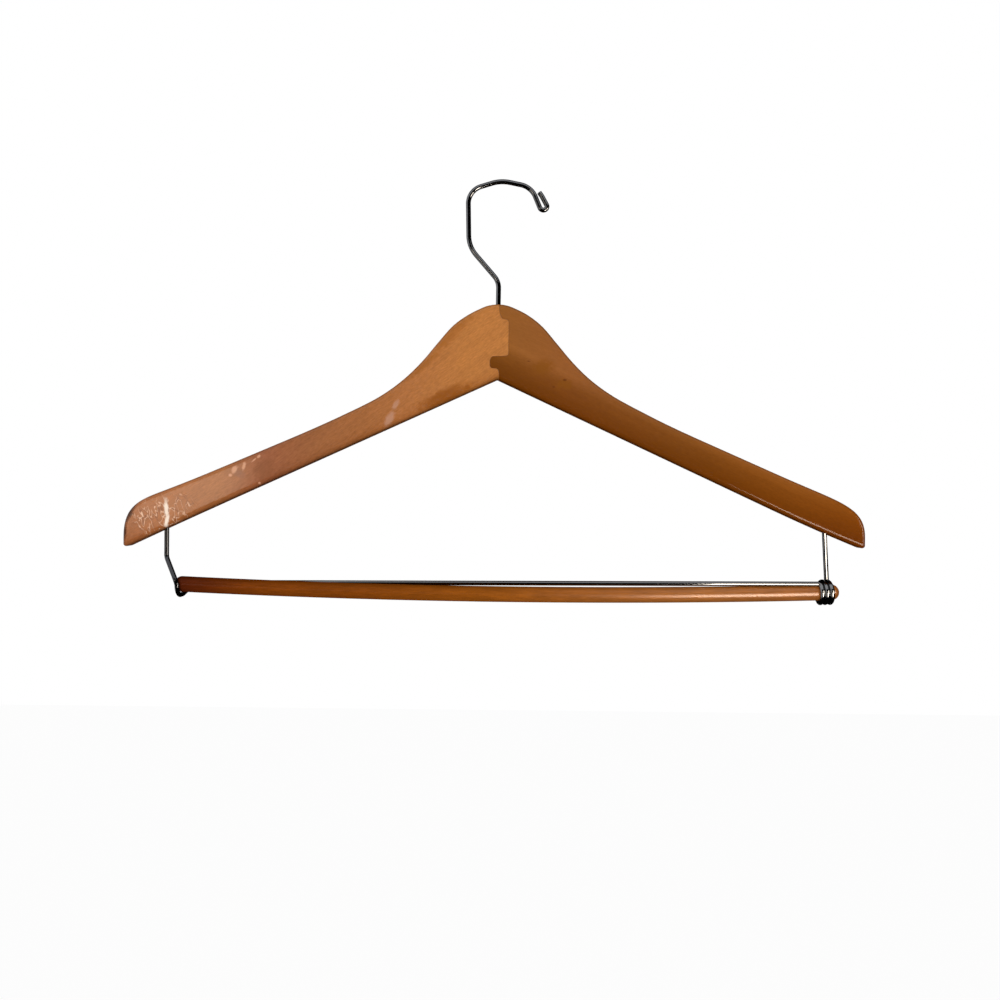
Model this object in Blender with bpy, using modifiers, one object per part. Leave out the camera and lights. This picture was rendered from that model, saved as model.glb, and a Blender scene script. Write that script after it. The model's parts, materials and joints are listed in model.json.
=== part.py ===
"""Wooden suit hanger with a sprung trouser bar.

Metres, +Z up, +X to the right and the front face towards -Y. The origin is the place on the inner face of
the hook's crown, straight above the stem, where the hanger rests on a rod.

Two flat hardwood arms meet in a finger joint at the neck. A bent wire hook turns in a bush in the neck.
A bowed round bar hangs under the arms: its left end lies in a catch wire, and its right end is held by
the coil of the lock wire, whose leg stands in the right arm. The long free run of the lock wire lies over
the bar and clamps the trousers. The bar swings back about the leg, and the free run lifts at the coil.
"""
import math

import bmesh
import bpy
import numpy as np
from mathutils import Vector

# The board that both arms are cut from
seat_to_neck = 0.0725           # rod seat down to the top of the neck
neck_height = 0.0442            # top of the neck down to the underside, on the hook's axis
left_reach = 0.2213             # hook's axis out to the tip of the left arm
right_reach = 0.2190            # and of the right arm, which is a little shorter
arm_slope_deg = 24.73           # fall of the straight underside of an arm
arm_depth_root = 0.0174         # upright depth of an arm, run back to the hook's axis
arm_depth_tip = 0.0230          # the same at the tip
left_growth = 1.38              # how late the depth grows towards the tip: 1 is evenly
right_growth = 1.0
left_tip_lift = -0.0005         # how far the underside has left its straight line at the tip, upwards
right_tip_lift = 0.0017
left_tip_swell = 0.0023         # and how much deeper the arm has become there
right_tip_swell = 0.0
lift_run = 0.054                # over this length before the tip
board_thickness = 0.0127
edge_round = 0.0023             # rounding of every outer edge of the board
neck_spread = 0.118             # how far out the neck swells above an arm
# How far out along the neck's spread, and the swell there as a share of its size on the axis
left_swell_shares = [(0.0, 1.0), (0.037, 1.053), (0.075, 1.075), (0.150, 1.054), (0.225, 0.958),
                     (0.299, 0.729), (0.374, 0.476), (0.448, 0.287), (0.523, 0.160), (0.597, 0.084),
                     (0.672, 0.049), (0.747, 0.031), (0.822, 0.016), (0.911, 0.005), (1.0, 0.0)]
right_swell_shares = [(0.0, 1.0), (0.037, 1.053), (0.075, 1.075), (0.150, 1.056), (0.225, 0.945),
                      (0.299, 0.712), (0.374, 0.469), (0.448, 0.286), (0.523, 0.168), (0.597, 0.099),
                      (0.672, 0.063), (0.747, 0.039), (0.822, 0.018), (0.911, 0.005), (1.0, 0.0)]
left_tip_run = 0.0247           # length along X of the curve that ends an arm
right_tip_run = 0.0368
tip_fall_share = 0.31           # its lowest point above the underside, as a share of the tip's depth
left_tip_handles = (0.585, 0.679)    # pull of its two ends, as shares of its run and of its fall
right_tip_handles = (0.695, 0.525)
slope_step = 0.0001             # a short way along X over which a slope is measured
tip_corner_radius = 0.0028      # where the end meets the underside, more than edge_round

# The finger joint in the neck
joint_gap = 0.0003              # glue line between the arms
joint_corner_radius = 0.0019
left_finger_reach = 0.0067      # how far the left arm's finger passes the hook's axis
right_finger_reach = 0.0044     # how far the right arm's finger passes it
# Corners of the joint from the top down: reach as a share of the left finger's, or of the right finger's
# where negative, and depth as a share of the neck's height
joint_shares = [(0.06, -0.06), (0.10, 0.0), (0.20, 0.135), (0.40, 0.200), (1.0, 0.215), (1.0, 0.685),
                (0.66, 0.700), (-0.80, 0.705), (-1.0, 0.760), (-1.0, 0.860), (0.08, 0.866), (0.16, 0.94),
                (0.12, 1.06)]

# The hook, bent from round wire
hook_wire = 0.0029
hook_back = 0.0180              # the hook's back, left of its axis
stem_bend_radius = 0.0104       # centre line of a bend
lower_bend_radius = 0.0180
upper_bend_radius = 0.0105
hook_crown_radius = 0.0219
nose_bend_radius = 0.0121
hairpin_gap = 0.0017            # between the two legs of the hairpin
hairpin_return = 0.0080         # length of the leg that comes back up
hairpin_close_share = 0.50      # how much of the gap it closes on its way
hairpin_tip = 0.0029            # its last stretch, which closes more
tip_close_share = 0.38
tip_bend_radius = 0.0030
# Corners of the hook as shares of hook_back and of seat_to_neck
stem_bend_share = -0.8106
lower_bend_shares = (-0.981, -0.5258)
upper_bend_shares = (-1.023, -0.0632)
nose_bend_shares = (1.074, -0.0308)
hairpin_end_shares = (1.407, -0.2295)
crown_lean = 0.0010             # the crown's corner, right of the axis

# The bush in the neck and the hook's shank in it
running_gap = 0.0003
bush_wall = 0.0009
bush_length = 0.020
bush_sink = 0.0010              # top of the bush below the top of the neck
shank_head_radius = 0.0023
shank_head_height = 0.0030
head_slope_height = 0.0001      # rise of the slope from the head in to the shank
chamber_depth = 0.0045          # room for the head under the bush

# The trouser bar
bar_diameter = 0.0094
bar_left_inset = 0.0296         # arm's tip in to the bar's left end
bar_right_inset = 0.0140        # the same on the right
bar_drop = 0.2411               # rod seat down to the middle between the axis at the bar's two ends
bar_tilt = 0.0006               # how far the right end is below that, and the left end above it
bar_bow = 0.0038                # how far the middle hangs below the ends
bar_dome = 0.0042               # length over which an end is rounded
bar_flat_share = 0.37           # flat of an end, as a share of the radius

# The two spring wires
spring_wire = 0.0028
wire_seat_depth = 0.0140        # how deep a wire stands in an arm
seat_end_gap = 0.0006           # past the end of the wire
fit_gap = 0.0003                # between neighbouring pieces

# The catch wire in the left arm
catch_gap = 0.0004              # between the bar and the wire under it
catch_leg_inset = 0.0243        # arm's tip in to the catch's leg
catch_straight = 0.0171         # straight run under the arm
catch_front_inset = 0.0327      # arm's tip in to where it crosses the front of the bar
catch_bend_height = 0.0034      # where the slanting run ends, above the bar's axis
catch_drift = 0.0007            # how much further in the curl ends than it starts
catch_bend_radius = 0.0050
catch_floor = 0.0040            # level run under the bar, behind its axis
catch_lip_reach = 0.0058        # past that run
catch_lip_rise = 0.0013

# The lock wire in the right arm
leg_inset = 0.02315             # arm's tip in to the leg of the lock wire, half way down its seat
leg_splay = 0.0045              # further out at the coil
coil_pitch = 0.00323
coil_side_step = 1.0            # how much more of each turn's move is made over the top than under the bar
coil_first_lead = 0.0006        # extra move along the bar in the first turn, clear of the leg
coil_front_passes = 3
coil_exit_deg = 34.0            # the coil ends this far past its last front pass
exit_bend_radius = 0.0022
clamp_end_gap = 0.0042          # free end of the long run to the catch
clamp_end_back = 0.0078         # free end behind the bar's axis
clamp_end_height = 0.0006       # and above it

# Counts, angles and what the modelling needs
neck_steps = 5                  # outline points between two swell shares
tip_steps = 14
lift_steps = 4                  # outline points over the bent stretch of the underside
fillet_step_deg = 15.0
least_bend_deg = 4.0            # a corner that turns less than this stays as it is
coil_points = 24
bar_steps = 36
clamp_steps = 8
gap_samples = 1200
dome_shares = (0.0, 0.06, 0.25, 0.55, 1.0)
round_steps = 2
round_segments = 32
cutter_overrun = 0.004
weld_distance = 0.00001
flat_angle_deg = 0.1            # faces that meet under a smaller angle become one
sharp_angle_deg = 40.0

# What follows from these sizes
neck_top = -seat_to_neck
apex = neck_top - neck_height
slope = math.tan(math.radians(arm_slope_deg))
half_board = board_thickness / 2
hook_radius = hook_wire / 2
spring_radius = spring_wire / 2
bar_radius = bar_diameter / 2
bush_inner = hook_radius + running_gap
bush_outer = bush_inner + bush_wall
neck_swell = neck_height - arm_depth_root
coil_radius = bar_radius + fit_gap + spring_radius
bar_left = left_reach - bar_left_inset
bar_right = right_reach - bar_right_inset
bar_length = bar_left + bar_right
bar_middle = (bar_right - bar_left) / 2
catch_x = left_reach - catch_leg_inset
catch_front_x = left_reach - catch_front_inset
leg_x = right_reach - leg_inset


def underside(x):
    """Height of the underside at a place along X: a straight fall, bent a little before the tip."""
    reach = np.where(np.asarray(x) > 0, right_reach, left_reach)
    lift = np.where(np.asarray(x) > 0, right_tip_lift, left_tip_lift)
    late = np.clip(1 - (reach - np.abs(x)) / lift_run, 0, None)
    return apex - slope * np.abs(x) + lift * late ** 2


def top_edge(x):
    """Height of an arm's upper edge without the neck's swell."""
    reach = np.where(np.asarray(x) > 0, right_reach, left_reach)
    growth = np.where(np.asarray(x) > 0, right_growth, left_growth)
    swell = np.where(np.asarray(x) > 0, right_tip_swell, left_tip_swell)
    late = np.clip(1 - (reach - np.abs(x)) / lift_run, 0, None)
    depth = arm_depth_root + (arm_depth_tip - arm_depth_root) * (np.abs(x) / reach) ** growth
    return underside(x) + depth + swell * late ** 2


def bar_axis(x):
    """Height of the bowed bar's axis: a parabola, lowest near the middle."""
    share = (x - bar_middle) / (bar_length / 2)
    return -bar_drop - bar_tilt * share - bar_bow * (1 - share * share)


def material(name, colour, roughness, metallic):
    """A Principled material with one colour."""
    new = bpy.data.materials.new(name)
    new.use_nodes = True
    shader = new.node_tree.nodes["Principled BSDF"]
    shader.inputs["Base Color"].default_value = (*colour, 1.0)
    shader.inputs["Roughness"].default_value = roughness
    shader.inputs["Metallic"].default_value = metallic
    return new


def add_object(name, data, collection, finish=None):
    """Put new data into the scene as a named object."""
    piece = bpy.data.objects.new(name, data)
    collection.objects.link(piece)
    if finish:
        piece.data.materials.append(finish)
    return piece


def unit(vector):
    """The vector at length one."""
    return np.asarray(vector, float) / np.linalg.norm(vector)


def smooth_through(points, steps):
    """Catmull-Rom curve through points, with a given number of steps between two of them."""
    points = np.asarray(points, float)
    ends = np.vstack([2 * points[0] - points[1], points, 2 * points[-1] - points[-2]])
    out = []
    for before, start, end, after in zip(ends, ends[1:], ends[2:], ends[3:]):
        for step in range(steps):
            t = step / steps
            out.append(0.5 * (2 * start + (end - before) * t
                              + (2 * before - 5 * start + 4 * end - after) * t ** 2
                              + (3 * start - before - 3 * end + after) * t ** 3))
    out.append(points[-1])
    return np.array(out)


def rounded_path(corners, radii):
    """Straight runs through corners, with an arc of the given radius in each inner corner.

    An arc may take a whole run at either end of the path, and half of any other run.
    """
    corners = np.asarray(corners, float)
    rooms = np.linalg.norm(np.diff(corners, axis=0), axis=1) / 2
    rooms[[0, -1]] *= 2
    rooms = np.minimum(rooms[:-1], rooms[1:])
    out = [corners[0]]
    for before, corner, after, radius, room in zip(corners, corners[1:], corners[2:], radii, rooms):
        to_start, to_end = unit(before - corner), unit(after - corner)
        turn = math.pi - math.acos(np.clip(np.dot(to_start, to_end), -1, 1))
        if radius <= 0 or turn < math.radians(least_bend_deg):
            out.append(corner)
            continue
        setback = min(radius * math.tan(turn / 2), room)
        bend = setback / math.tan(turn / 2)
        centre = corner + unit(to_start + to_end) * bend / math.cos(turn / 2)
        count = max(2, round(math.degrees(turn) / fillet_step_deg))
        first = corner + to_start * setback - centre
        last = corner + to_end * setback - centre
        for step in range(count + 1):
            angle = turn * step / count
            out.append(centre + (first * math.sin(turn - angle) + last * math.sin(angle)) / math.sin(turn))
    out.append(corners[-1])
    return np.array(out)


def tube(name, points, radius, collection, finish, resolution=2, swell=None):
    """A round wire or bar along points, as a curve with filled ends."""
    curve = bpy.data.curves.new(name, "CURVE")
    curve.dimensions = "3D"
    curve.bevel_depth = radius
    curve.bevel_resolution = resolution
    curve.resolution_u = 1
    curve.render_resolution_u = 0
    curve.use_fill_caps = True
    spline = curve.splines.new("POLY")
    spline.points.add(len(points) - 1)
    for index, (target, place) in enumerate(zip(spline.points, points)):
        target.co = (*place, 1.0)
        target.radius = 1.0 if swell is None else swell[index]
    return add_object(name, curve, collection, finish)


def inset(outline, distance):
    """The same closed outline moved inwards by a distance, with its corners kept."""
    before = outline - np.roll(outline, 1, axis=0)
    before /= np.linalg.norm(before, axis=1)[:, None]
    after = np.roll(before, -1, axis=0)
    inwards = np.column_stack([before[:, 1], -before[:, 0]]) + np.column_stack([after[:, 1], -after[:, 0]])
    inwards /= np.linalg.norm(inwards, axis=1)[:, None]
    half_turn = np.sqrt((1 + np.sum(before * after, axis=1)) / 2)
    return outline + inwards * (distance / half_turn)[:, None]


def flat_piece(name, outline, half_thickness, collection, rounding=0.0):
    """A closed outline in X and Z, filled and given its thickness along Y, as a welded mesh."""
    if rounding:
        outline = inset(outline, rounding)
    curve = bpy.data.curves.new(name, "CURVE")
    curve.dimensions = "2D"
    curve.fill_mode = "BOTH"
    curve.extrude = half_thickness - rounding
    curve.bevel_depth = rounding
    curve.bevel_resolution = round_steps
    curve.resolution_u = 1
    curve.render_resolution_u = 0
    spline = curve.splines.new("POLY")
    spline.points.add(len(outline) - 1)
    spline.use_cyclic_u = True
    for target, place in zip(spline.points, outline):
        target.co = (place[0], place[1], 0.0, 1.0)
    drawing = add_object(name + "_outline", curve, collection)
    drawing.rotation_euler = (math.radians(90), 0, 0)
    bpy.context.view_layer.update()
    seen = drawing.evaluated_get(bpy.context.evaluated_depsgraph_get())
    mesh = bpy.data.meshes.new_from_object(seen)
    mesh.transform(drawing.matrix_world)
    bpy.data.objects.remove(drawing)
    mesh.name = name
    shape = bmesh.new()
    shape.from_mesh(mesh)
    bmesh.ops.remove_doubles(shape, verts=shape.verts, dist=weld_distance)
    bmesh.ops.dissolve_limit(shape, angle_limit=math.radians(flat_angle_deg), verts=shape.verts, edges=shape.edges)
    bmesh.ops.recalc_face_normals(shape, faces=shape.faces)
    shape.to_mesh(mesh)
    shape.free()
    return mesh


def bore(name, start, end, radius, collection):
    """A round cutter between two points."""
    start, end = Vector(start), Vector(end)
    mesh = bpy.data.meshes.new(name)
    shape = bmesh.new()
    bmesh.ops.create_cone(shape, cap_ends=True, segments=round_segments, radius1=radius, radius2=radius,
                          depth=(end - start).length)
    shape.to_mesh(mesh)
    shape.free()
    cutter = add_object(name, mesh, collection)
    cutter.location = (start + end) / 2
    cutter.rotation_euler = (end - start).to_track_quat("Z", "Y").to_euler()
    return cutter


def hide_cutter(cutter):
    """Show a cutter as wires only."""
    cutter.hide_render = True
    cutter.display_type = "WIRE"


def boolean(piece, cutter, operation):
    """A live Boolean on a piece."""
    cut = piece.modifiers.new(operation.lower() + "_" + cutter.name, "BOOLEAN")
    cut.operation = operation
    cut.solver = "EXACT"
    cut.object = cutter


def shade(piece):
    """Smooth shading with sharp edges past an angle."""
    piece.data.shade_smooth()
    piece.data.set_sharp_from_angle(angle=math.radians(sharp_angle_deg))


def half_outline(side, reach, swell_shares, tip_run, tip_handles):
    """One half of the front view, from the top of the neck over the tip and back along the underside."""
    swell = smooth_through(swell_shares, neck_steps)
    out_x = side * swell[:, 0] * neck_spread
    top = np.column_stack([out_x, top_edge(out_x) + swell[:, 1] * neck_swell])
    start_x = side * (reach - tip_run)
    start = np.array([start_x, top_edge(start_x)])
    end = np.array([side * reach, underside(side * reach) + arm_depth_tip * tip_fall_share])
    fall = (top_edge(start_x + side * slope_step) - start[1]) / slope_step
    leave = start + np.array([side, fall]) * tip_run * tip_handles[0]
    arrive = end + np.array([0.0, (start[1] - end[1]) * tip_handles[1]])
    t = np.linspace(0, 1, tip_steps)[:, None]
    tip = start * (1 - t) ** 3 + 3 * leave * (1 - t) ** 2 * t + 3 * arrive * (1 - t) * t ** 2 + end * t ** 3
    low_x = side * (reach - np.linspace(0, lift_run, lift_steps + 1))
    low = np.column_stack([low_x, underside(low_x)])
    under = rounded_path(np.vstack([end, low, [0.0, apex]]), [tip_corner_radius] + [0] * lift_steps)
    return np.vstack([top, tip, under[1:-1]])


def board_outline():
    """The front view of both arms: neck, shoulders, tips and the two undersides."""
    right = half_outline(1, right_reach, right_swell_shares, right_tip_run, right_tip_handles)
    left = half_outline(-1, left_reach, left_swell_shares, left_tip_run, left_tip_handles)
    return np.vstack([right, [0.0, apex], left[1:][::-1]])


def joint_line():
    """The stepped line between the arms, from above the neck to below the underside."""
    corners = []
    for across, down in joint_shares:
        reach = left_finger_reach if across > 0 else right_finger_reach
        corners.append((across * reach, neck_top - down * neck_height))
    return rounded_path(corners, [joint_corner_radius] * (len(corners) - 2))


def arm_region(side):
    """Outline that holds one arm, ending half a glue line short of the joint."""
    line = joint_line()
    steps = np.gradient(line, axis=0)
    steps /= np.linalg.norm(steps, axis=1)[:, None]
    across = np.column_stack([-steps[:, 1], steps[:, 0]])
    edge = line + side * across * joint_gap / 2
    reach = side * (right_reach if side > 0 else left_reach)
    far = reach + side * cutter_overrun
    high = neck_top + cutter_overrun
    low = underside(reach) - cutter_overrun
    edge[0, 1] = high
    return np.vstack([edge, [(edge[-1, 0], low), (far, low), (far, high)]])


def hook_points():
    """Centre line of the hook, from the shank's foot in the neck up to the hairpin's tip.

    The bends cut the crown's corner, so the whole of it above the foot is raised until the inner face of
    the crown is at height zero again.
    """
    depth, width = seat_to_neck, hook_back
    foot = neck_top - bush_sink - bush_length - running_gap - shank_head_height
    leg_gap = hook_wire + hairpin_gap
    nose = np.array([nose_bend_shares[0] * width, nose_bend_shares[1] * depth])
    low = np.array([hairpin_end_shares[0] * width, hairpin_end_shares[1] * depth])
    down = unit(low - nose)
    side = np.array([-down[1], down[0]])
    if side[0] < 0:
        side = -side
    foot_turn = low + side * leg_gap
    near = foot_turn - down * hairpin_return - side * hairpin_gap * hairpin_close_share
    tip = near - down * hairpin_tip - side * hairpin_gap * tip_close_share
    flat = [(0, foot), (0, stem_bend_share * depth),
            (lower_bend_shares[0] * width, lower_bend_shares[1] * depth),
            (upper_bend_shares[0] * width, upper_bend_shares[1] * depth),
            (crown_lean, hook_radius), nose, low, foot_turn, near, tip]
    half_gap = leg_gap / 2
    radii = [stem_bend_radius, lower_bend_radius, upper_bend_radius, hook_crown_radius, nose_bend_radius,
             half_gap, half_gap, tip_bend_radius]
    path = rounded_path([(x, 0.0, z) for x, z in flat], radii)
    path[1:, 2] += hook_radius - path[:, 2].max()
    return path


def build_hook(collection, finish):
    """The hook with the upset head that holds its shank under the bush."""
    path = hook_points()
    foot = path[0]
    neck = foot + np.array([0, 0, shank_head_height])
    taper = neck + np.array([0, 0, head_slope_height])
    wide = shank_head_radius / hook_radius
    points = np.vstack([foot, neck, taper, path[1:]])
    return tube("hook", points, hook_radius, collection, finish,
                swell=[wide, wide] + [1.0] * (len(points) - 2))


def build_bush(collection, finish):
    """The bush: a ring profile turned about the hook's axis."""
    top = neck_top - bush_sink
    low = top - bush_length
    profile = [(bush_outer, top), (bush_outer, low), (bush_inner, low), (bush_inner, top)]
    mesh = bpy.data.meshes.new("hook_insert")
    shape = bmesh.new()
    corners = [shape.verts.new((x, 0, z)) for x, z in profile]
    for first, last in zip(corners, corners[1:] + corners[:1]):
        shape.edges.new((first, last))
    shape.to_mesh(mesh)
    shape.free()
    piece = add_object("hook_insert", mesh, collection, finish)
    turn = piece.modifiers.new("turned", "SCREW")
    turn.steps = turn.render_steps = round_segments
    turn.use_merge_vertices = True
    turn.merge_threshold = weld_distance
    return piece


def catch_points():
    """Centre line of the catch wire, from its seat in the left arm to the low lip behind the bar."""
    axis_z = bar_axis(-catch_front_x)
    reach = bar_radius + catch_gap + spring_radius
    arm_low = underside(-catch_x)
    curl_x = np.linspace(-catch_front_x, -catch_front_x + catch_drift, 3)
    front = [(-catch_x, 0, arm_low + wire_seat_depth), (-catch_x, 0, arm_low - catch_straight),
             (-catch_front_x - catch_drift, -reach, axis_z + catch_bend_height), (curl_x[0], -reach, axis_z)]
    run = rounded_path(front, [catch_bend_radius, catch_bend_radius])
    quarter = []
    for angle in np.arange(fillet_step_deg, 90 + fillet_step_deg / 2, fillet_step_deg):
        turn = math.radians(angle)
        share = angle / 90
        quarter.append((curl_x[0] + (curl_x[1] - curl_x[0]) * share, -reach * math.cos(turn),
                        axis_z - reach * math.sin(turn)))
    floor = axis_z - reach
    tail = rounded_path([quarter[-1], (curl_x[1], catch_floor, floor),
                         (curl_x[2], catch_floor + catch_lip_reach, floor + catch_lip_rise)],
                        [catch_bend_radius])
    return np.vstack([run, quarter, tail[1:]])


def lock_frame():
    """The leg's foot on the coil, the leg's direction upwards and the coil's start angle."""
    coil_x = leg_x + leg_splay
    axis_z = bar_axis(coil_x)
    crossing = underside(leg_x) + wire_seat_depth / 2 - axis_z
    lean = math.asin(coil_radius / crossing)
    foot = np.array([coil_x, coil_radius * math.cos(lean), axis_z + coil_radius * math.sin(lean)])
    top = np.array([leg_x, 0.0, axis_z + crossing])
    return foot, unit(top - foot), lean


def coil_axis_point(turn_deg, lean_deg):
    """Place of the coil's axis after a number of degrees, moving left by its pitch each turn.

    The move is mostly made over the top of the bar: its rate is 1 - side step * sine of the turn.
    """
    turns = (turn_deg + lean_deg) / 360
    angle = math.radians(turn_deg)
    stepped = turns + coil_side_step * (math.cos(angle) - math.cos(math.radians(lean_deg))) / (2 * math.pi)
    x = leg_x + leg_splay - coil_pitch * stepped - coil_first_lead * min(turns, 1.0)
    return np.array([x, 0.0, bar_axis(x)])


def lock_points():
    """Centre line of the lock wire up to the cut, and the end of its free run."""
    foot, up, lean = lock_frame()
    lean_deg = math.degrees(lean)
    arm_low = underside(leg_x)
    seat = foot + up * (arm_low + wire_seat_depth - foot[2]) / up[2]
    last = 360.0 * (coil_front_passes - 1) + 180.0 + coil_exit_deg
    count = math.ceil((last + lean_deg) / 360 * coil_points)
    turns = np.linspace(-lean_deg, last, count + 1)
    coil = []
    for turn in turns:
        angle = math.radians(turn)
        around = np.array([0.0, math.cos(angle), -math.sin(angle)])
        coil.append(coil_axis_point(turn, lean_deg) + around * coil_radius)
    leave = unit(coil[-1] - coil[-2])
    corner = coil[-1] + leave * exit_bend_radius
    end_x = -catch_front_x + catch_drift + spring_radius + clamp_end_gap
    free_end = np.array([end_x, clamp_end_back, bar_axis(end_x) + clamp_end_height])
    run = unit(free_end - corner)
    cut = corner + run * (exit_bend_radius + spring_wire)
    bend = rounded_path([coil[-1], corner, cut], [exit_bend_radius])
    points = np.vstack([seat, coil, bend[1:]])
    return points, cut, run, free_end


def least_gap(points, radius):
    """Least distance between two stretches of a tube that aren't neighbours along it."""
    lengths = np.concatenate([[0], np.cumsum(np.linalg.norm(np.diff(points, axis=0), axis=1))])
    fine = np.linspace(0, lengths[-1], gap_samples)
    dense = np.column_stack([np.interp(fine, lengths, points[:, axis]) for axis in range(3)])
    apart = np.linalg.norm(dense[:, None] - dense[None], axis=2)
    far = np.abs(fine[:, None] - fine[None]) > math.pi * coil_radius
    return apart[far].min() - 2 * radius


def main():
    """Build every piece."""
    for old in list(bpy.data.objects):
        bpy.data.objects.remove(old)
    parts = bpy.data.collections.new("wooden_suit_hanger")
    cutters = bpy.data.collections.new("cutters")
    bpy.context.scene.collection.children.link(parts)
    bpy.context.scene.collection.children.link(cutters)

    light_wood = material("lacquered_light_wood", (0.42, 0.16, 0.055), 0.3, 0.0)
    wood = material("lacquered_wood", (0.30, 0.11, 0.03), 0.3, 0.0)
    dark_wood = material("dark_lacquered_bar", (0.18, 0.05, 0.015), 0.25, 0.0)
    chrome = material("chromed_wire", (0.55, 0.56, 0.58), 0.12, 1.0)
    steel = material("plain_steel", (0.45, 0.45, 0.46), 0.35, 1.0)

    outline = board_outline()
    lock, cut, run, free_end = lock_points()
    foot, up, _ = lock_frame()
    catch = catch_points()

    board = flat_piece("board", outline, half_board, parts, edge_round)
    neck_cut = bore("neck_bore", (0, 0, neck_top + cutter_overrun),
                    (0, 0, neck_top - bush_sink - bush_length - chamber_depth), bush_outer + fit_gap, cutters)
    catch_cut = bore("catch_bore", (-catch_x, 0, underside(-catch_x) - cutter_overrun),
                     catch[0] + np.array([0, 0, seat_end_gap]), spring_radius + fit_gap, cutters)
    leg_cut = bore("leg_bore", foot + up * (lock[0] - foot)[2] / 2, lock[0] + up * seat_end_gap,
                   spring_radius + fit_gap, cutters)
    hide_cutter(neck_cut)
    for name, side, finish, leg_bore in (("left_arm", -1, light_wood, catch_cut),
                                         ("right_arm", 1, wood, leg_cut)):
        region = add_object(name + "_region",
                            flat_piece(name + "_region", arm_region(side), board_thickness, cutters), cutters)
        arm = add_object(name, board.copy(), parts, finish)
        shade(arm)
        boolean(arm, region, "INTERSECT")
        boolean(arm, neck_cut, "DIFFERENCE")
        boolean(arm, leg_bore, "DIFFERENCE")
        hide_cutter(region)
        hide_cutter(leg_bore)

    build_hook(parts, chrome)
    build_bush(parts, steel)
    tube("catch_wire", catch, spring_radius, parts, chrome)

    ends = np.array(dome_shares) * bar_dome
    middle = np.linspace(bar_dome, bar_length - bar_dome, bar_steps)
    along = np.concatenate([ends[:-1], middle, bar_length - ends[-2::-1]])
    bar_x = along - bar_left
    from_end = np.minimum(along, bar_length - along) / bar_dome
    swell = np.sqrt(1 - (1 - bar_flat_share ** 2) * (1 - np.clip(from_end, 0, 1)) ** 2)
    tube("trouser_bar", np.column_stack([bar_x, 0 * bar_x, bar_axis(bar_x)]), bar_radius, parts, dark_wood,
         resolution=6, swell=swell)

    tube("lock_wire", lock, spring_radius, parts, chrome, resolution=1)
    start = cut + run * fit_gap
    tube("pressure_wire", np.linspace(start, free_end, clamp_steps), spring_radius, parts, chrome)

    print("least gap of the coil to itself, mm:", round(least_gap(lock, spring_radius) * 1000, 3))
    print("swing axis through", foot.round(5), "pointing up along", up.round(5))
    print("lift axis through", (cut + run * fit_gap / 2).round(5), "free end at", free_end.round(5))


main()
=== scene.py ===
# %% [markdown]
# A wooden suit hanger with a swivelling wire hook and a sprung trouser bar. The real one is two lacquered
# boards glued at the neck, a bent wire hook in a metal bush, a bowed round bar, a wire that catches the
# bar at the left, and one long spring wire that winds round its right end. The lesson goes in the order
# in which a maker would work: frame, tools, boards, wires, bar, finishes, light.
#
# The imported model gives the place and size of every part, so it is loaded first and left as it is.

# %% Load the frame
import json
import math

import bpy
import numpy as np
from mathutils import Matrix

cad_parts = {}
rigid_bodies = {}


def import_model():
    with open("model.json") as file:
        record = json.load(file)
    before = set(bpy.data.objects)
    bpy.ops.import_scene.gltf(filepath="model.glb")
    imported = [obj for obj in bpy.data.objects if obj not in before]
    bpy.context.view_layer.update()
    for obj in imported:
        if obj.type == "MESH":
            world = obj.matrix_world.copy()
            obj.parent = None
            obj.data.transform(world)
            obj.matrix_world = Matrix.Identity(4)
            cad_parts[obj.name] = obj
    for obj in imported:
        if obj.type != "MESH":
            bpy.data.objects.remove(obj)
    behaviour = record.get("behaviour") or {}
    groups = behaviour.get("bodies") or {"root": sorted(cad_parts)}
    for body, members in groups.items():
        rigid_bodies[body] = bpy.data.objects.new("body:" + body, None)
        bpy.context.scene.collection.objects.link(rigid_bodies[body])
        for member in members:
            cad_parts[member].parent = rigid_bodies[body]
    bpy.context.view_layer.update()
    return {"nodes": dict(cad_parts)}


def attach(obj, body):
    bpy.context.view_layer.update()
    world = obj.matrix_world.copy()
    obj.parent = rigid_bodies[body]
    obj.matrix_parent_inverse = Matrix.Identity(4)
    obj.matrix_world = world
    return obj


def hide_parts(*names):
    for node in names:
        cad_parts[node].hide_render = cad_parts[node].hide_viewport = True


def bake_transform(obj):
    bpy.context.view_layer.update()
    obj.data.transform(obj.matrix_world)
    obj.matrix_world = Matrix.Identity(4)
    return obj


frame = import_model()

print("nodes:", sorted(frame["nodes"]))

# %% [markdown]
# The sizes are those of the parts, in metres, and each one is named for what it measures.
# Working from named sizes rather than from drawn points keeps every piece in step with its neighbours.

# %% Sizes of the boards
mm = 0.001
seat_to_neck = 72.5 * mm
neck_height = 44.2 * mm
left_reach = 221.3 * mm
right_reach = 219.0 * mm
slope_angle = math.radians(24.73)
arm_slope = math.tan(slope_angle)
arm_depth_root = 17.4 * mm
arm_depth_tip = 23.0 * mm
board_half = 12.7 * mm / 2
edge_round = 2.3 * mm
flat_hold = .35 * mm
neck_spread = 118.0 * mm
swell_places = (0, .037, .075, .150, .225, .299, .374, .448, .523, .597, .672, .747, .822, .911, 1)
left_swell = (1, 1.053, 1.075, 1.054, .958, .729, .476, .287, .160, .084, .049, .031, .016, .005, 0)
right_swell = (1, 1.053, 1.075, 1.056, .945, .712, .469, .286, .168, .099, .063, .039, .018, .005, 0)
left_growth, right_growth = 1.38, 1.0
left_tip_lift, right_tip_lift = -.5 * mm, 1.7 * mm
left_tip_swell, right_tip_swell = 2.3 * mm, 0
lift_run = 54 * mm
left_tip_run, right_tip_run = 24.7 * mm, 36.8 * mm
tip_fall_share = .31
left_tip_handles, right_tip_handles = (.585, .679), (.695, .525)
tip_corner_radius = 2.75 * mm
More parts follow.
